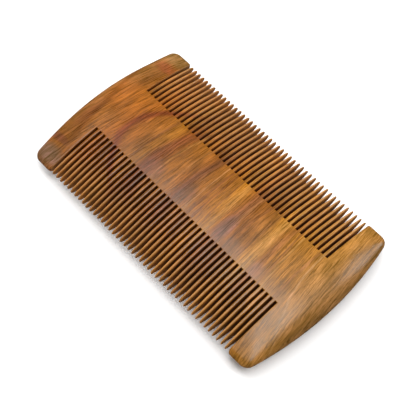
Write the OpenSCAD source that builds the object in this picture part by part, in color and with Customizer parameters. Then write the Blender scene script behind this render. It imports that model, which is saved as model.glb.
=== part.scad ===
// Double-sided beard comb in solid wood. One lens-shaped board carries two rows of teeth,
// one on each long side of a central spine, with a wide guard tooth at both ends of each row.
// X runs along the comb, Y across it, Z up. The origin is the middle of the bottom face.

/* [Board] */
// Length over the two curved ends
comb_length = 100; // [96:1:110]
// Thickness at the flat middle of the spine
thickness = 10.3; // [9.7:0.1:11]
// Width of the flat face along the middle, top and bottom
land_width = 4; // [3:1:10]
// Radius of the curve that thins the board from the flat face to the tooth tips
crown_radius = 89; // [87:0.5:100]
// Radius of the curved ends, seen from above
end_radius = 115; // [95:5:140]
// Radius that rolls the top and bottom faces into the curved ends
end_roll = 4.5; // [1:0.25:4.75]

/* [Spine] */
// Width of the spine, from the slot roots of one row to those of the other
spine_width = 20.2; // [18:0.2:24]

/* [Teeth] */
// Teeth in each row
tooth_count = 45; // [30:1:45]
// Distance from one tooth to the next
tooth_pitch = 1.715; // [1.5:0.005:1.78]
// Width of each sawn slot
slot_width = 0.85; // [0.6:0.05:0.9]
// Width over the tips of the two rows
teeth_span = 58; // [54:0.5:58.5]
// Length of the part of each tooth that narrows to its tip
tooth_taper = 8; // [5:0.5:10]
// Width of a tooth at its tip
tip_width = 0.4; // [0.3:0.05:0.6]

/* [Guards] */
// Width over the guard teeth, which stand slightly past the tips
guard_span = 58.3; // [58.1:0.1:60]
// Radius of the outer corner of each guard tooth
outer_corner = 3; // [2:0.25:4]
// Radius of the inner corner of each guard tooth, beside the first slot
inner_corner = 1; // [0.5:0.1:1.5]

/* [Hidden] */
$fn = 96;
GUARDS = ["front_left_guard", "front_right_guard", "back_left_guard", "back_right_guard"];

function pair_name(i) = str("tooth_pair_", i < 10 ? "0" : "", i);
// X of the middle of tooth i, counted from 1 at the left
function tooth_x(i) = (i - (tooth_count + 1) / 2) * tooth_pitch;

half_length = comb_length / 2;
half_thick = thickness / 2;
half_land = land_width / 2;
half_spine = spine_width / 2;
tooth_width = tooth_pitch - slot_width;
// X of the guards' inner sides, at the far side of the first and last slots
guard_x = tooth_count * tooth_pitch / 2 + slot_width / 2;
// Distances of the crown arc's centre below, and of the end arc's centre behind, the middle
crown_drop = crown_radius - half_thick;
end_back = end_radius - half_length;
// Room past every face for a cutting shape
spare = 5;

// Radius of the round nose that ends the crown at a given reach from the middle, tangent to
// the arcs above and below it
function nose_radius(reach) =
    (pow(crown_radius, 2) - pow(reach - half_land, 2) - pow(crown_drop, 2))
    / (2 * (crown_radius - (reach - half_land)));
// Y where that nose meets the crown arcs
function nose_meet(reach) =
    let (r = nose_radius(reach))
    half_land + (reach - r - half_land) * crown_radius / (crown_radius - r);

// Half of the board's cross-section, drawn with its reach along X and its thickness along Y:
// a flat land, a crown arc and a round nose
module half_section(reach) {
    meet = nose_meet(reach);
    radius = nose_radius(reach);
    translate([0, -half_thick]) square([half_land, thickness]);
    intersection() {
        translate([half_land, -crown_drop]) circle(crown_radius, $fn = 360);
        translate([half_land, crown_drop]) circle(crown_radius, $fn = 360);
        translate([half_land, -half_thick]) square([meet - half_land, thickness]);
    }
    translate([reach - radius, 0]) circle(radius);
}

// The half section as a bar along X, on the back (+Y) side of the middle plane, resting on Z = 0
module half_board(reach, x0, x1) {
    translate([x0, 0, half_thick])
        rotate([90, 0, 90])
            linear_extrude(x1 - x0) half_section(reach);
}

// Round disc that gives the right end its curve and its rolled edges
module end_disc() {
    straight = thickness - 2 * end_roll;
    translate([-end_back, 0, 0]) rotate_extrude($fn = 360) {
        square([end_radius - end_roll, thickness]);
        translate([0, end_roll]) square([end_radius, straight]);
        for (z = [end_roll, thickness - end_roll])
            translate([end_radius - end_roll, z]) circle(end_roll);
    }
}

// Plan of the back right guard: a straight inner side, a rounded inner corner, a flat end and
// an outer corner that runs into the curved end
module guard_plan() {
    reach = guard_span / 2;
    arc = end_radius - outer_corner;
    corner_x = sqrt(pow(arc, 2) - pow(reach - outer_corner, 2)) - end_back;
    corner_y = reach - outer_corner;
    // Y where the outer corner meets the curved end
    meet = corner_y * end_radius / arc;
    inner_x = guard_x + inner_corner;
    translate([guard_x, half_spine])
        square([half_length + spare - guard_x, meet - half_spine]);
    translate([inner_x, meet]) square([corner_x - inner_x, reach - meet]);
    translate([corner_x, corner_y]) circle(outer_corner);
    translate([guard_x, meet]) square([inner_corner, reach - inner_corner - meet]);
    translate([inner_x, reach - inner_corner]) circle(inner_corner);
}

// Plan of one back tooth about X = 0: parallel sides, then two long arcs that close on the tip
module tooth_plan() {
    reach = teeth_span / 2;
    shoulder = reach - tooth_taper;
    narrowing = (tooth_width - tip_width) / 2;
    side_radius = (pow(tooth_taper, 2) + pow(narrowing, 2)) / (2 * narrowing);
    translate([-tooth_width / 2, half_spine]) square([tooth_width, shoulder - half_spine]);
    intersection() {
        translate([-tooth_width / 2, shoulder]) square([tooth_width, tooth_taper]);
        intersection_for (side = [-1, 1])
            translate([side * (side_radius - tooth_width / 2), shoulder])
                circle(side_radius, $fn = 720);
    }
}

module spine() {
    color("peru") intersection() {
        union() {
            half_board(guard_span / 2, -half_length, half_length);
            mirror([0, 1, 0]) half_board(guard_span / 2, -half_length, half_length);
        }
        translate([-half_length, -half_spine, 0]) cube([comb_length, spine_width, thickness]);
        end_disc();
        mirror([1, 0, 0]) end_disc();
    }
}

// The back right guard tooth; the other three are its mirror images
module guard() {
    intersection() {
        half_board(guard_span / 2, guard_x, half_length);
        linear_extrude(thickness) guard_plan();
        end_disc();
    }
}

// The back tooth of one station, about X = 0
module tooth() {
    intersection() {
        half_board(teeth_span / 2, -tooth_width / 2, tooth_width / 2);
        linear_extrude(thickness) tooth_plan();
    }
}

// The two teeth that stand opposite each other across the spine
module tooth_pair() {
    color("burlywood") {
        tooth();
        mirror([0, 1, 0]) tooth();
    }
}

module front_left_guard() { color("tan") mirror([1, 0, 0]) mirror([0, 1, 0]) guard(); }
module front_right_guard() { color("tan") mirror([0, 1, 0]) guard(); }
module back_left_guard() { color("tan") mirror([1, 0, 0]) guard(); }
module back_right_guard() { color("tan") guard(); }

spine();
front_left_guard();
front_right_guard();
back_left_guard();
back_right_guard();
for (i = [1:tooth_count])
    translate([tooth_x(i), 0, 0]) tooth_pair();
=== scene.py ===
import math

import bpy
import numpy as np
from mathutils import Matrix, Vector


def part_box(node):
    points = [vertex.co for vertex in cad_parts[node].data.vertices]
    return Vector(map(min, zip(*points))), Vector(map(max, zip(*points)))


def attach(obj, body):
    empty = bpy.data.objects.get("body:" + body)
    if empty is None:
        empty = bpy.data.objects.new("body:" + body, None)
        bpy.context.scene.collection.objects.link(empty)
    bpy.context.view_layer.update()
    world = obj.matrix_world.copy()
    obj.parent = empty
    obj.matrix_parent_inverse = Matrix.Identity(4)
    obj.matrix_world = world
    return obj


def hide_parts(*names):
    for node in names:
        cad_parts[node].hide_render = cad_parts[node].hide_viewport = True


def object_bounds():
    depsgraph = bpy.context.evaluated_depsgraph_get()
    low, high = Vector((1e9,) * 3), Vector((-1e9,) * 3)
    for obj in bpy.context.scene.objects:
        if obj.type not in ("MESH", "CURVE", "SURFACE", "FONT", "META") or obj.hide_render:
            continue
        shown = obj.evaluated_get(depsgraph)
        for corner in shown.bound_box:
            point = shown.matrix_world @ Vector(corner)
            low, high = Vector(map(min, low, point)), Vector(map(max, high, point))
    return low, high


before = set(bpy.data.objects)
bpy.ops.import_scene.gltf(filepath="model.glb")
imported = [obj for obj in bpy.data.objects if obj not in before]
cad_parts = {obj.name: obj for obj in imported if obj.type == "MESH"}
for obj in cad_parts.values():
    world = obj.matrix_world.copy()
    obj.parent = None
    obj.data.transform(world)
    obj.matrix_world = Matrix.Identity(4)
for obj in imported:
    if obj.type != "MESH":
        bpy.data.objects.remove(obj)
cad_low, cad_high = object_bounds()

# Looks of a double-sided beard comb, carved from one piece of figured sandalwood.
#
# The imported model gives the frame: the spine, four guard teeth and the pairs of fine teeth. Each of
# them is replaced here, one for one, by a finer carved piece in the same place: rolled ends, eased
# slot edges and teeth that taper to points. One procedural wood runs through all of them.

MM = 0.001

# The board, in metres. What the frame can tell is measured from it.
spine_low, spine_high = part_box("spine")
guard_low, guard_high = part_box("back_right_guard")
pair_names = sorted(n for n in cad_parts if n.startswith("tooth_pair_"))
pair_boxes = [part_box(n) for n in pair_names]

MID_Z = (spine_low.z + spine_high.z) / 2
HALF_THICK = (spine_high.z - spine_low.z) / 2
HALF_LENGTH = (cad_high.x - cad_low.x) / 2
HALF_SPINE = spine_high.y
GUARD_X = guard_low.x
GUARD_REACH = guard_high.y
TOOTH_REACH = pair_boxes[0][1].y
TOOTH_HALF = (pair_boxes[0][1].x - pair_boxes[0][0].x) / 2
TOOTH_X = np.array([(low.x + high.x) / 2 for low, high in pair_boxes])

# Half the width of the flat strip along the middle, and the curve that thins the board beyond it
HALF_LAND = 2.0 * MM
CROWN_RADIUS = 89.0 * MM
# Curved ends: their radius from above, and how far in from the edge their rounding reaches
END_RADIUS = 115.0 * MM
END_ROLL = 8.5 * MM
# Rounding of the sharp edges left by the saw
EASE = 0.14 * MM
# Guard teeth: corner radii from above, how far in the rounding of the tip reaches, and the Y
# between which the ends' rounding shrinks to it
OUTER_CORNER = 3.0 * MM
INNER_CORNER = 1.0 * MM
TIP_ROLL = 1.5 * MM
ROLL_SHRINKS = (18 * MM, 28 * MM)
# Fine teeth: length of the taper, half width at the tip, reach of the tip's rounding from the side,
# length of the part by the tip with a finer mesh, and how gradually the taper starts
TAPER = 8.0 * MM
TIP_HALF = 0.16 * MM
TIP_NOSE = 1.3 * MM
TIP_PART = 2.5 * MM
TAPER_POWER = 1.7
# What is cut off a fine tooth's top edges by its tip, as shares of its half width and half height
RIDGE_WIDTH = 0.8
RIDGE_DROP = 0.3
# How much one fine tooth differs from the next: seed, length, lean of the tip, and taper
TEETH_SEED = 7
SHORTER = 0.12 * MM
LEAN = 0.03 * MM
TAPER_SPREAD = 0.08

END_BACK = END_RADIUS - HALF_LENGTH
# Shares of a rounded edge's radius at which its mesh has lines, from the edge inwards
EDGE_STEPS = 1 - np.cos(np.radians([0, 30, 60, 90]))
ROLL_STEPS = 1 - np.cos(np.radians([0, 6, 12, 20, 28, 37, 47, 58, 70, 80, 90]))
# Shares of a slot wall's half height at which it has lines, from the top down
WALL_STEPS = np.array([1.0, 0.9, 0.72, 0.4, 0.0])
# Y of the mesh lines along the spine, from its eased edges to the middle
SPINE_LINES = np.array([9.6, 8.6, 7.3, 5.9, 4.4, 2.2, 0]) * MM
# Mesh lines along a guard's shank, along a fine tooth up to its tip, and between a guard's edges
GUARD_ROWS = 12
TOOTH_ROWS = 18
GUARD_COLUMNS = 7
# Vertices closer than this are one
WELD = 0.001 * MM
# Edges that turn more than this are sharp
SHARP = math.radians(50)


# ---------------------------------------------------------------- shape of the board

def rounding(distance, radius):
    """Share of the full height at a distance in from an edge that is rounded over a radius."""
    inside = np.clip(distance / radius, 0, 1)
    return np.sqrt(1 - (1 - inside) ** 2)


def smooth(low, high, value):
    """0 below low, 1 above high, and a smooth step between."""
    share = np.clip((value - low) / (high - low), 0, 1)
    return share * share * (3 - 2 * share)


def crown(y):
    """Half thickness of the board at a distance y from its middle line."""
    beyond = np.maximum(np.abs(y) - HALF_LAND, 0)
    return HALF_THICK - CROWN_RADIUS + np.sqrt(CROWN_RADIUS**2 - beyond**2)


def end_x(y):
    """X of the right end's curve at y."""
    return np.sqrt(END_RADIUS**2 - y**2) - END_BACK


def end_distance(x, y):
    """Distance in from the curve of the nearer end."""
    return END_RADIUS - np.hypot(np.abs(x) + END_BACK, y)


def ease(distance):
    """How far the face drops beside a sawn edge."""
    return EASE * (1 - rounding(distance, EASE))


# ---------------------------------------------------------------- meshes

def closed_shell(x, y, half, fall=0.0):
    """Vertices, faces and slot depths of a closed solid on a grid of rows and columns.

    half is the height above and below the middle plane. The sides are walls where half isn't zero.
    fall is how far the faces have dropped towards a slot.
    """
    rows, columns = x.shape
    points, depths = [], []

    def add(px, py, pz, depth):
        points.append(np.stack([px, py, MID_Z + pz], -1).reshape(-1, 3))
        depths.append(np.broadcast_to(depth, px.shape).ravel())

    add(x, y, half, fall)
    add(x, y, -half, fall)
    index = np.arange(rows * columns).reshape(rows, columns)
    faces = []

    def quads(a, b, c, d):
        faces.append(np.stack([a.ravel(), b.ravel(), c.ravel(), d.ravel()], -1))

    quads(index[:-1, :-1], index[:-1, 1:], index[1:, 1:], index[1:, :-1])
    below = index + rows * columns
    quads(below[:-1, :-1], below[1:, :-1], below[1:, 1:], below[:-1, 1:])

    # The rim runs once round the grid, anticlockwise from above
    rim = np.concatenate([index[0, :-1], index[:-1, -1], index[-1, :0:-1], index[:0:-1, 0]])
    rim_x, rim_y, rim_half = x.ravel()[rim], y.ravel()[rim], half.ravel()[rim]
    full = crown(rim_y)
    levels = np.concatenate([WALL_STEPS, -WALL_STEPS[-2::-1]])
    lines = [rim]
    total = 2 * rows * columns
    for level in levels[1:-1]:
        add(rim_x, rim_y, rim_half * level, full - rim_half * abs(level))
        lines.append(np.arange(total, total + len(rim)))
        total += len(rim)
    lines.append(rim + rows * columns)
    for upper, lower in zip(lines[:-1], lines[1:]):
        quads(upper, lower, np.roll(lower, -1), np.roll(upper, -1))
    return np.concatenate(points), np.concatenate(faces), np.concatenate(depths)


def weld(points, faces, depths):
    """Joins vertices that share a place, and drops what that leaves of flat faces."""
    grid = np.round(points / WELD).astype(np.int64)
    _, first, same = np.unique(grid, axis=0, return_index=True, return_inverse=True)
    same = same.ravel()
    kept = []
    for face in same[faces]:
        ring = [v for i, v in enumerate(face) if v != face[i - 1]]
        if len(set(ring)) >= 3:
            kept.append(ring)
    return points[first], kept, depths[first]


def mirrored(shell, flip_x, flip_y):
    """The same shell on another side of the comb."""
    points, faces, depths = shell
    points = points * [-1 if flip_x else 1, -1 if flip_y else 1, 1]
    if flip_x != flip_y:
        # The first corner stays first, so that both sides fold along the same diagonals
        faces = faces[:, [0, 3, 2, 1]]
    return points, faces, depths


def joined(shells):
    """Several shells as one set of vertices and faces."""
    offsets = np.cumsum([0] + [len(points) for points, _, _ in shells])
    return (
        np.concatenate([points for points, _, _ in shells]),
        np.concatenate([faces + start for (_, faces, _), start in zip(shells, offsets)]),
        np.concatenate([depths for _, _, depths in shells]),
    )


def carve(node, shells, material):
    """Makes the carved piece that replaces a CAD node."""
    points, faces, depths = weld(*joined(shells))
    mesh = bpy.data.meshes.new(f"carved_{node}")
    mesh.from_pydata(points.tolist(), [], faces)
    mesh.validate()
    slot_depth = mesh.attributes.new("slot_depth", "FLOAT", "POINT")
    slot_depth.data.foreach_set("value", (depths / MM).astype(np.float32))
    mesh.shade_smooth()
    mesh.set_sharp_from_angle(angle=SHARP)
    mesh.materials.append(material)
    piece = bpy.data.objects.new(f"carved_{node}", mesh)
    bpy.context.scene.collection.objects.link(piece)
    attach(piece, "root")
    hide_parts(node)
    return piece


# ---------------------------------------------------------------- the pieces

def guard_shares():
    """Where the columns of a guard lie, as shares of the way from the slot to the end's curve."""
    width = HALF_LENGTH - GUARD_X
    inner = EDGE_STEPS * EASE / width
    outer = 1 - ROLL_STEPS[::-1] * END_ROLL / width
    middle = np.linspace(inner[-1], outer[0], GUARD_COLUMNS)[1:-1]
    return np.concatenate([inner, middle, outer])


def slot_distance(x, y):
    """Distance from the nearest sawn slot, for points on the spine."""
    gaps = (TOOTH_X[1:] + TOOTH_X[:-1]) / 2
    pitch = TOOTH_X[1] - TOOTH_X[0]
    gaps = np.concatenate([[gaps[0] - pitch], gaps, [gaps[-1] + pitch]])
    half_slot = GUARD_X - gaps[-1]
    beside = np.abs(x[..., None] - gaps).min(-1) - half_slot
    return np.hypot(np.maximum(beside, 0), HALF_SPINE - np.abs(y))


def spine_shell():
    """The bar down the middle, with rolled ends and eased slot bottoms."""
    steps = EDGE_STEPS * EASE
    half_rows = np.concatenate([HALF_SPINE - steps, SPINE_LINES])
    rows = np.concatenate([-half_rows, half_rows[-2::-1]])[:, None]
    teeth = [np.concatenate([c - TOOTH_HALF + steps, c + TOOTH_HALF - steps[::-1]]) for c in TOOTH_X]
    middle = np.concatenate(teeth)[None, :] + 0 * rows
    right = GUARD_X + guard_shares()[None, :] * (end_x(rows) - GUARD_X)
    x = np.concatenate([-right[:, ::-1], middle, right], 1)
    y = rows + 0 * x
    half = crown(y) * rounding(end_distance(x, y), END_ROLL) - ease(slot_distance(x, y))
    return closed_shell(x, y, np.maximum(half, 0))


def guard_shell():
    """The back right guard tooth."""
    arc = END_RADIUS - OUTER_CORNER
    corner_y = GUARD_REACH - OUTER_CORNER
    corner_x = math.sqrt(arc**2 - corner_y**2) - END_BACK
    meet_y = corner_y * END_RADIUS / arc
    inner_y = GUARD_REACH - INNER_CORNER
    shank = np.linspace(HALF_SPINE, corner_y, GUARD_ROWS)[:-1]
    corner_steps = 1 - np.cos(np.radians(np.arange(90, -1, -7.5)))
    rows = np.concatenate([shank, GUARD_REACH - OUTER_CORNER * corner_steps])[:, None]

    past_corner = np.clip(rows - corner_y, 0, OUTER_CORNER)
    on_corner = corner_x + np.sqrt(OUTER_CORNER**2 - past_corner**2)
    outer = np.where(rows < meet_y, end_x(rows), on_corner)
    past_inner = np.clip(rows - inner_y, 0, INNER_CORNER)
    inner = GUARD_X + INNER_CORNER - np.sqrt(INNER_CORNER**2 - past_inner**2)
    x = inner + guard_shares()[None, :] * (outer - inner)
    y = rows + 0 * x

    from_corner = np.hypot(x - corner_x, y - corner_y)
    beyond_tip_side = x > corner_x
    beyond_end_side = (y - corner_y) * (corner_x + END_BACK) > (x - corner_x) * corner_y
    at_corner = beyond_tip_side & beyond_end_side
    edge = np.minimum(end_distance(x, y), GUARD_REACH - y)
    edge = np.where(at_corner, OUTER_CORNER - from_corner, edge)
    roll = END_ROLL + (TIP_ROLL - END_ROLL) * smooth(*ROLL_SHRINKS, y)
    half = crown(y) * rounding(np.maximum(edge, 0), roll)
    drop = np.minimum(ease(x - inner), 0.6 * half)
    return closed_shell(x, y, half - drop)


def tooth_shell(x_middle, rng):
    """A back tooth: flat-topped at the root, rounding to a ridge and tapering to a fine tip."""
    reach = TOOTH_REACH - rng.uniform(0, SHORTER)
    lean = rng.uniform(-LEAN, LEAN)
    taper = TAPER * rng.uniform(1 - TAPER_SPREAD, 1 + TAPER_SPREAD)
    shank = np.linspace(HALF_SPINE, reach - TIP_PART, TOOTH_ROWS)[:-1]
    rows = np.concatenate([shank, reach - TIP_PART * ROLL_STEPS[::-1]])[:, None]
    along = (rows - HALF_SPINE) / (reach - HALF_SPINE)

    narrowing = np.clip((rows - (reach - taper)) / taper, 0, 1) ** TAPER_POWER
    width = TOOTH_HALF + (TIP_HALF - TOOTH_HALF) * narrowing
    width = width * rounding(reach - rows, TIP_HALF * 1.5)
    half = crown(rows) * rounding(reach - rows, TIP_NOSE)
    # The eased edges grow from the root until only a narrow ridge is left between them
    edge = EASE + (RIDGE_WIDTH * width - EASE) * smooth(0.2, 0.85, along)
    edge = np.minimum(edge, width)
    drop = EASE + (RIDGE_DROP * half - EASE) * smooth(0.2, 0.95, along)
    drop = np.minimum(drop, half)
    steps = EDGE_STEPS[None, :]
    across = np.concatenate([-width + edge * steps, (width - edge * steps)[:, ::-1]], 1)
    fall = drop * (1 - rounding(steps, 1.0))
    fall = np.concatenate([fall, fall[:, ::-1]], 1)
    x = x_middle + across + lean * along**2
    return closed_shell(x, rows + 0 * x, np.maximum(half - fall, 0), fall)


def build_comb(material):
    """Replaces every CAD node with its carved piece."""
    carve("spine", [spine_shell()], material)
    guard = guard_shell()
    for node, flip_x, flip_y in (
        ("back_right_guard", False, False),
        ("back_left_guard", True, False),
        ("front_right_guard", False, True),
        ("front_left_guard", True, True),
    ):
        carve(node, [mirrored(guard, flip_x, flip_y)], material)
    rng = np.random.default_rng(TEETH_SEED)
    for node, x_middle in zip(pair_names, TOOTH_X):
        back = tooth_shell(x_middle, rng)
        front = mirrored(tooth_shell(x_middle, rng), False, True)
        carve(node, [back, front], material)


# ---------------------------------------------------------------- material

class Nodes:
    """Short calls for building a node tree. A value may be a number, a tuple or a socket."""

    def __init__(self, tree):
        self.tree = tree

    def add(self, kind, inputs=(), **settings):
        made = self.tree.nodes.new(kind)
        for name, value in settings.items():
            setattr(made, name, value)
        for key, value in dict(inputs).items():
            self.put(value, made.inputs[key])
        return made

    def put(self, value, socket):
        if isinstance(value, bpy.types.NodeSocket):
            self.tree.links.new(value, socket)
        else:
            socket.default_value = value

    def math(self, operation, *values):
        return self.add("ShaderNodeMath", enumerate(values), operation=operation).outputs[0]

    def step(self, value, low, high, to_low=0.0, to_high=1.0):
        """A smooth step of value between low and high."""
        made = self.add("ShaderNodeMapRange", interpolation_type="SMOOTHSTEP")
        for socket, given in zip(made.inputs, (value, low, high, to_low, to_high)):
            self.put(given, socket)
        return made.outputs[0]

    def step_linear(self, value, low, high):
        """Value as a share of the way from low to high."""
        made = self.add("ShaderNodeMapRange")
        for socket, given in zip(made.inputs, (value, low, high, 0.0, 1.0)):
            self.put(given, socket)
        return made.outputs[0]

    def mix(self, factor, a, b, blend="MIX"):
        made = self.add("ShaderNodeMix", data_type="RGBA", blend_type=blend)
        self.put(factor, made.inputs["Factor"])
        self.put(a, made.inputs[6])
        self.put(b, made.inputs[7])
        return made.outputs[2]

    def noise(self, place, scale, detail, roughness):
        """Noise of about 0 to 1 with its own scale along X, Y and Z, in features per millimetre."""
        scaled = self.add(
            "ShaderNodeVectorMath", {0: place, 1: scale}, operation="MULTIPLY"
        ).outputs[0]
        made = self.add(
            "ShaderNodeTexNoise",
            {"Vector": scaled, "Scale": 1.0, "Detail": detail, "Roughness": roughness},
        )
        return made.outputs["Fac"]


def srgb(red, green, blue):
    """A linear colour from 0 to 255 display values."""
    def linear(c):
        c /= 255
        return c / 12.92 if c <= 0.04045 else ((c + 0.055) / 1.055) ** 2.4

    return (linear(red), linear(green), linear(blue), 1.0)


# The floor is lit past white, so the wood reflects less than its colours below would
EXPOSED = 0.72

# Noises in the wood: features per millimetre along X, Y and Z, detail and roughness
WANDER = ((0.06, 0.05, 0.06), 3.0, 0.6)
SHIVER = ((0.35, 0.08, 0.35), 2.0, 0.5)
CLOUD = ((0.3, 0.1, 0.2), 3.0, 0.5)
GRAIN = ((1.0, 0.09, 0.4), 3.0, 0.6)
FIBRE = ((3.0, 0.1, 0.5), 3.0, 0.75)
PORES = ((4.5, 0.7, 1.5), 1.0, 0.5)

# How far those noises push things along X, in millimetres: the bands by both, and the grain and the
# streaks by the shiver alone
BANDS_WANDER = 7.0
BANDS_SHIVER = 1.6
GRAIN_SHIVER = 1.4
STREAK_SHIVER = 1.8
# Share by which the bands and the grain draw together, for each millimetre towards the back
FAN = 0.003

# How each noise shades the wood: two levels of the noise, and the lightness at them
CLOUD_SHADES = (0.3, 0.7, 0.82, 1.14)
GRAIN_SHADES = (0.32, 0.68, 0.86, 1.16)
FIBRE_SHADES = (0.36, 0.64, 0.62, 1.4)
PORES_SHADES = (0.3, 0.42, 0.7, 1.0)
# Lightness at two Y in millimetres, a painted shade that darkens the front half; share of blue at two
# Y in millimetres;
# and share of blue at two lightnesses. The extra blue on the front half and on paler wood is partly
# the wood's own tone and partly painted sheen
FRONT_PAINTED_SHADE = (-10, 4, 0.88, 1.0)
FRONT_TONE_AND_SHEEN_BLUE = (-6, 6, 1.0, 0.88)
PALER_TONE_AND_SHEEN_BLUE = (0.4, 1.1, 0.9, 1.8)

# Slot walls: depth below the face in millimetres over which they darken with painted shade, how that
# weakens with the distance from the middle line, the tint of painted shade that they multiply the
# wood's colour by, and the roughness that they add
SAWN_AND_SHADE_DEPTH = (0.0, 1.3)
SAWN_AND_SHADE_WEAKENS = (19.0, 28.0, 1.0, 0.45)
SLOT_SHADE_TINT = (0.46, 0.26, 0.13, 1)
SAWN_ROUGHNESS = 0.3
# Painted sheen on the tops of the fine teeth: how much at two Y, for the back row and the front row,
# and the colour
TEETH_SHEEN_BACK = (7.0, 24.0, 0.0, 0.45)
TEETH_SHEEN_FRONT = (-16.0, -26.0, 0.0, 0.5)
TEETH_SHEEN_COLOUR = srgb(198, 142, 80)
# Roughness of the polish at two levels of the fibre noise
POLISH_ROUGHNESS = (0.36, 0.64, 0.27, 0.38)
# Depth of the relief of the grain, in metres, and how much of it shows
RELIEF_DEPTH = 0.0001
RELIEF_STRENGTH = 0.35

# Colours of the wood across the comb, by X in millimetres at the middle line
BANDS = [
    (-50, srgb(160, 108, 48)),
    (-46, srgb(156, 99, 38)),
    (-43, srgb(150, 91, 30)),
    (-39, srgb(165, 99, 20)),
    (-33, srgb(165, 93, 14)),
    (-29, srgb(155, 90, 16)),
    (-25, srgb(165, 100, 24)),
    (-22, srgb(165, 103, 17)),
    (-19, srgb(140, 76, 12)),
    (-14, srgb(150, 90, 14)),
    (-10, srgb(165, 100, 22)),
    (-6, srgb(140, 80, 16)),
    (-2, srgb(158, 96, 20)),
    (3, srgb(165, 100, 20)),
    (7, srgb(185, 118, 22)),
    (11, srgb(160, 93, 20)),
    (15, srgb(145, 86, 17)),
    (19, srgb(155, 96, 24)),
    (23, srgb(185, 123, 32)),
    (27, srgb(165, 103, 24)),
    (32, srgb(180, 118, 30)),
    (37, srgb(172, 113, 30)),
    (43, srgb(178, 123, 46)),
    (50, srgb(150, 104, 42)),
]

# Streaks that lie over the bands: X at the middle line, lean, bend, half width, strength and colour.
# Along a streak, X = its first number + lean * Y + bend * Y * Y, in millimetres.
STREAKS = [
    (-32.6, 0.16, 0.036, 1.3, 0.75, srgb(128, 54, 16)),
    (-45.0, -0.20, 0.000, 1.0, 0.45, srgb(120, 62, 14)),
    (-24.0, 0.03, 0.004, 0.4, 0.50, srgb(118, 68, 26)),
    (-19.2, 0.16, 0.020, 1.6, 0.50, srgb(122, 62, 26)),
    (-15.2, 0.05, 0.010, 0.4, 0.50, srgb(190, 128, 55)),
    (-9.8, 0.05, 0.004, 0.4, 0.40, srgb(190, 125, 60)),
    (-5.4, 0.06, 0.006, 1.2, 0.50, srgb(120, 70, 40)),
    (-0.8, -0.01, 0.002, 0.3, 0.50, srgb(195, 135, 70)),
    (1.0, -0.02, 0.002, 0.3, 0.50, srgb(125, 66, 22)),
    (2.6, -0.02, 0.002, 0.3, 0.45, srgb(125, 66, 22)),
    (5.4, -0.08, 0.004, 0.3, 0.50, srgb(120, 70, 25)),
    (8.2, -0.05, 0.000, 0.8, 0.40, srgb(205, 145, 65)),
    (12.4, -0.03, 0.003, 1.4, 0.45, srgb(130, 82, 48)),
    (13.6, -0.06, 0.002, 0.3, 0.40, srgb(185, 125, 60)),
    (16.4, 0.00, 0.002, 0.5, 0.40, srgb(120, 70, 30)),
    (20.6, -0.02, 0.002, 0.5, 0.40, srgb(120, 72, 30)),
    (24.0, -0.04, 0.003, 1.0, 0.45, srgb(205, 148, 68)),
    (26.8, -0.02, 0.002, 0.8, 0.40, srgb(140, 85, 40)),
    (29.6, -0.12, 0.004, 0.3, 0.50, srgb(125, 75, 35)),
    (31.0, -0.12, 0.004, 0.3, 0.40, srgb(210, 155, 80)),
    (36.6, -0.02, 0.004, 0.5, 0.40, srgb(140, 88, 45)),
    (39.0, -0.20, 0.010, 0.3, 0.40, srgb(210, 160, 95)),
]

# Soft patches of other tints: X and Y of the middle, half sizes along both, strength and colour
PATCHES = [
    (-41.0, 4.0, 8.0, 8.0, 0.40, srgb(180, 98, 10)),
    (-42.5, 21.0, 4.5, 2.5, 0.55, srgb(146, 66, 28)),
    (-45.0, -20.0, 5.0, 1.6, 0.55, srgb(112, 58, 40)),
    (-43.0, -26.0, 6.0, 4.0, 0.70, srgb(124, 98, 68)),
    (-42.5, 27.0, 7.0, 4.0, 0.60, srgb(136, 106, 50)),
    (-45.0, -9.0, 2.0, 6.0, 0.40, srgb(120, 60, 18)),
    (-16.5, -7.0, 4.0, 4.5, 0.45, srgb(122, 78, 52)),
    (-3.5, -6.0, 3.0, 5.0, 0.45, srgb(118, 82, 56)),
    (12.5, -4.5, 2.6, 5.5, 0.55, srgb(128, 90, 70)),
    (18.5, -7.5, 3.5, 3.0, 0.40, srgb(136, 98, 62)),
    (28.0, -8.0, 2.6, 3.5, 0.45, srgb(140, 98, 68)),
    (7.5, 3.0, 2.4, 7.0, 0.35, srgb(196, 130, 40)),
    (23.5, 1.0, 1.6, 9.0, 0.40, srgb(204, 142, 56)),
]


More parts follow.
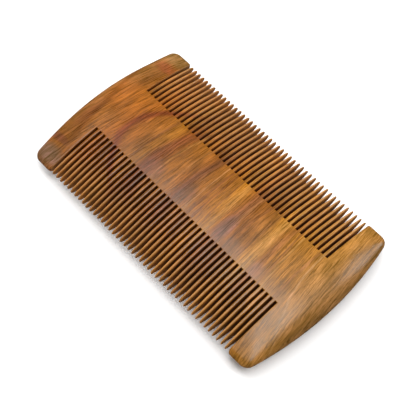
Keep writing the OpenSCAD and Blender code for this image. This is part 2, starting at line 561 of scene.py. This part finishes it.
def wood_material():
    """Polished sandalwood. The grain runs across the comb, along Y."""
    material = bpy.data.materials.new("sandalwood")
    material.use_nodes = True
    tree = material.node_tree
    tree.nodes.clear()
    n = Nodes(tree)
    place = n.add(
        "ShaderNodeVectorMath",
        {0: n.add("ShaderNodeTexCoord").outputs["Object"], 1: (1000, 1000, 1000)},
        operation="MULTIPLY",
    ).outputs[0]
    split = n.add("ShaderNodeSeparateXYZ", {0: place})
    x, y = split.outputs[0], split.outputs[1]

    def pushed(noise, by):
        """How far a noise pushes along X: by up to half of the given millimetres either way."""
        return n.math("MULTIPLY", n.math("SUBTRACT", noise, 0.5), by)

    # The bands wander, and fan out towards the front. So does the grain, which wavers more finely.
    wander = n.noise(place, *WANDER)
    shiver = n.noise(place, *SHIVER)
    shift = n.math("ADD", pushed(wander, BANDS_WANDER), pushed(shiver, BANDS_SHIVER))
    fan = n.math("MULTIPLY", n.math("MULTIPLY", x, y), FAN)
    across = n.math("ADD", n.math("ADD", x, shift), fan)
    grain_x = n.math("ADD", n.math("ADD", x, pushed(shiver, GRAIN_SHIVER)), fan)
    grained = n.add("ShaderNodeCombineXYZ", {0: grain_x, 1: y, 2: split.outputs[2]}).outputs[0]

    ramp = n.add("ShaderNodeValToRGB")
    first, last = BANDS[0][0], BANDS[-1][0]
    n.put(n.step_linear(across, first, last), ramp.inputs[0])
    stops = ramp.color_ramp.elements
    while len(stops) < len(BANDS):
        stops.new(0.5)
    for stop, (at, colour) in zip(stops, BANDS):
        stop.position = (at - first) / (last - first)
        stop.color = colour
    colour = ramp.outputs[0]

    # Streaks fade towards the tips
    reach = n.math("ABSOLUTE", y)
    shaken_x = n.math("ADD", x, pushed(shiver, STREAK_SHIVER))
    fade = n.step(reach, 26, 12, 0.25, 1.0)
    for at, lean, bend, half_width, strength, tint in STREAKS:
        path = n.math("MULTIPLY_ADD", y, lean, at)
        path = n.math("MULTIPLY_ADD", n.math("MULTIPLY", y, y), bend, path)
        off = n.math("ABSOLUTE", n.math("SUBTRACT", shaken_x, path))
        mask = n.step(off, half_width * 1.7, half_width * 0.2, 0.0, strength)
        colour = n.mix(n.math("MULTIPLY", mask, fade), colour, tint)

    for at_x, at_y, half_x, half_y, strength, tint in PATCHES:
        off_x = n.math("DIVIDE", n.math("SUBTRACT", shaken_x, at_x), half_x)
        off_y = n.math("DIVIDE", n.math("SUBTRACT", y, at_y), half_y)
        away = n.math("MULTIPLY_ADD", off_x, off_x, n.math("MULTIPLY", off_y, off_y))
        colour = n.mix(n.step(away, 1.2, 0.1, 0.0, strength), colour, tint)

    # Grain from coarse to fine: soft clouds, figure, fibres and open pores
    grain = n.noise(grained, *GRAIN)
    fibre = n.noise(grained, *FIBRE)
    shades = (
        (n.noise(place, *CLOUD), CLOUD_SHADES),
        (grain, GRAIN_SHADES),
        (fibre, FIBRE_SHADES),
        (n.noise(grained, *PORES), PORES_SHADES),
        # Painted shade: the front half darker than the back
        (y, FRONT_PAINTED_SHADE),
    )
    light = EXPOSED
    for noise, levels in shades:
        light = n.math("MULTIPLY", light, n.step(noise, *levels))

    # The paler the wood, the less orange it is, and the back is a little more orange: partly the
    # wood's own tone and partly painted sheen
    blue = n.math("MULTIPLY", light, n.step(light, *PALER_TONE_AND_SHEEN_BLUE))
    blue = n.math("MULTIPLY", blue, n.step(y, *FRONT_TONE_AND_SHEEN_BLUE))
    shade = n.add("ShaderNodeCombineColor", {0: light, 1: light, 2: blue}).outputs[0]
    colour = n.mix(1.0, colour, shade, "MULTIPLY")

    # Slot walls darken with painted shade below the face and are rougher than the polished faces,
    # both less so by the tips
    depth = n.add("ShaderNodeAttribute", attribute_name="slot_depth").outputs["Fac"]
    sawn_and_shade = n.math("MULTIPLY", n.step(depth, *SAWN_AND_SHADE_DEPTH), n.step(reach, *SAWN_AND_SHADE_WEAKENS))
    colour = n.mix(sawn_and_shade, colour, n.mix(1.0, colour, SLOT_SHADE_TINT, "MULTIPLY"))

    # Painted sheen pales the tops of the fine teeth towards their tips
    guard_mm = GUARD_X / MM
    root_mm = HALF_SPINE / MM
    in_row = n.step(n.math("ABSOLUTE", x), guard_mm + 0.1, guard_mm)
    on_tooth = n.step(reach, root_mm, root_mm + 1.0)
    teeth_sheen = n.math("ADD", n.step(y, *TEETH_SHEEN_BACK), n.step(y, *TEETH_SHEEN_FRONT))
    for limit in (in_row, on_tooth, n.math("SUBTRACT", 1.0, sawn_and_shade)):
        teeth_sheen = n.math("MULTIPLY", teeth_sheen, limit)
    colour = n.mix(teeth_sheen, colour, TEETH_SHEEN_COLOUR)

    gloss = n.math("MULTIPLY_ADD", sawn_and_shade, SAWN_ROUGHNESS, n.step(fibre, *POLISH_ROUGHNESS))
    relief = n.math("MULTIPLY_ADD", fibre, 0.5, n.math("MULTIPLY", grain, 0.5))
    bump = n.add(
        "ShaderNodeBump",
        {"Strength": RELIEF_STRENGTH, "Distance": RELIEF_DEPTH, "Height": relief},
    ).outputs[0]
    surface = n.add(
        "ShaderNodeBsdfPrincipled",
        {
            "Base Color": colour,
            "Roughness": gloss,
            "Normal": bump,
            "IOR": 1.5,
            "Specular IOR Level": 0.5,
        },
    )
    out = n.add("ShaderNodeOutputMaterial")
    tree.links.new(surface.outputs[0], out.inputs[0])
    return material


def floor_material():
    """Matt white paper."""
    material = bpy.data.materials.new("white_paper")
    material.use_nodes = True
    surface = material.node_tree.nodes["Principled BSDF"]
    surface.inputs["Base Color"].default_value = (0.93, 0.93, 0.93, 1)
    surface.inputs["Roughness"].default_value = 0.9
    surface.inputs["Specular IOR Level"].default_value = 0.1
    return material


# ---------------------------------------------------------------- stage

def build_floor():
    """A wide pale floor that the comb rests on. The polish doesn't mirror it."""
    size = 3.0
    mesh = bpy.data.meshes.new("floor")
    corners = [(-size, -size, 0), (size, -size, 0), (size, size, 0), (-size, size, 0)]
    mesh.from_pydata(corners, [], [(0, 1, 2, 3)])
    mesh.materials.append(floor_material())
    floor = bpy.data.objects.new("floor", mesh)
    floor.visible_glossy = False
    bpy.context.scene.collection.objects.link(floor)


def add_softbox(name, place, target, size, power, mirrored_in_wood):
    """A rectangular soft light that faces a target."""
    data = bpy.data.lights.new(name, "AREA")
    data.shape = "RECTANGLE"
    data.size, data.size_y = size
    data.energy = power
    lamp = bpy.data.objects.new(name, data)
    lamp.location = place
    lamp.rotation_mode = "QUATERNION"
    lamp.rotation_quaternion = (Vector(target) - Vector(place)).to_track_quat("-Z", "Y")
    lamp.visible_glossy = mirrored_in_wood
    bpy.context.scene.collection.objects.link(lamp)


# Soft lights: name, place, target and size in metres, power in watts, and whether the polish
# mirrors it. The top one makes the sheen, and the left one the shadow on the right.
SOFTBOXES = [
    ("top_softbox", (0.04, 0.012, 0.6), (0.04, 0, 0), (0.6, 0.285), 3.1, True),
    ("left_softbox", (-0.70, 0.15, 0.40), (0, 0, 0), (1.2, 0.5), 7.8, False),
    ("back_softbox", (0.36, 0.58, 0.40), (0, 0, 0), (0.4, 0.4), 2.4, True),
]
SURROUND = 0.24


def build_lights():
    """Soft studio light from above, the left and behind, with a pale surround."""
    for softbox in SOFTBOXES:
        add_softbox(*softbox)
    world = bpy.data.worlds.new("studio")
    world.use_nodes = True
    background = world.node_tree.nodes["Background"]
    background.inputs["Color"].default_value = (1, 1, 1, 1)
    background.inputs["Strength"].default_value = SURROUND
    world.cycles_visibility.glossy = False
    bpy.context.scene.world = world


# Where the camera stands: what it aims at, and its angles and distance from there. The lens is in
# millimetres.
AIM = Vector((3.2 * MM, -2.15 * MM, MID_Z))
AZIMUTH, ELEVATION, ROLL = map(math.radians, (43.85, 62.3, 3.4))
DISTANCE = 297.5 * MM
LENS = 85.6


def build_camera():
    """The camera, high above the front right corner."""
    back = Vector((
        math.sin(AZIMUTH) * math.cos(ELEVATION),
        -math.cos(AZIMUTH) * math.cos(ELEVATION),
        math.sin(ELEVATION),
    ))
    data = bpy.data.cameras.new("camera")
    data.lens = LENS
    data.clip_start = 0.01
    camera = bpy.data.objects.new("camera", data)
    turn = (-back).to_track_quat("-Z", "Y").to_matrix().to_4x4() @ Matrix.Rotation(ROLL, 4, "Z")
    camera.matrix_world = Matrix.Translation(AIM + back * DISTANCE) @ turn
    bpy.context.scene.collection.objects.link(camera)
    bpy.context.scene.camera = camera


build_comb(wood_material())
build_floor()
build_lights()
build_camera()
bpy.context.scene.view_settings.view_transform = "Standard"
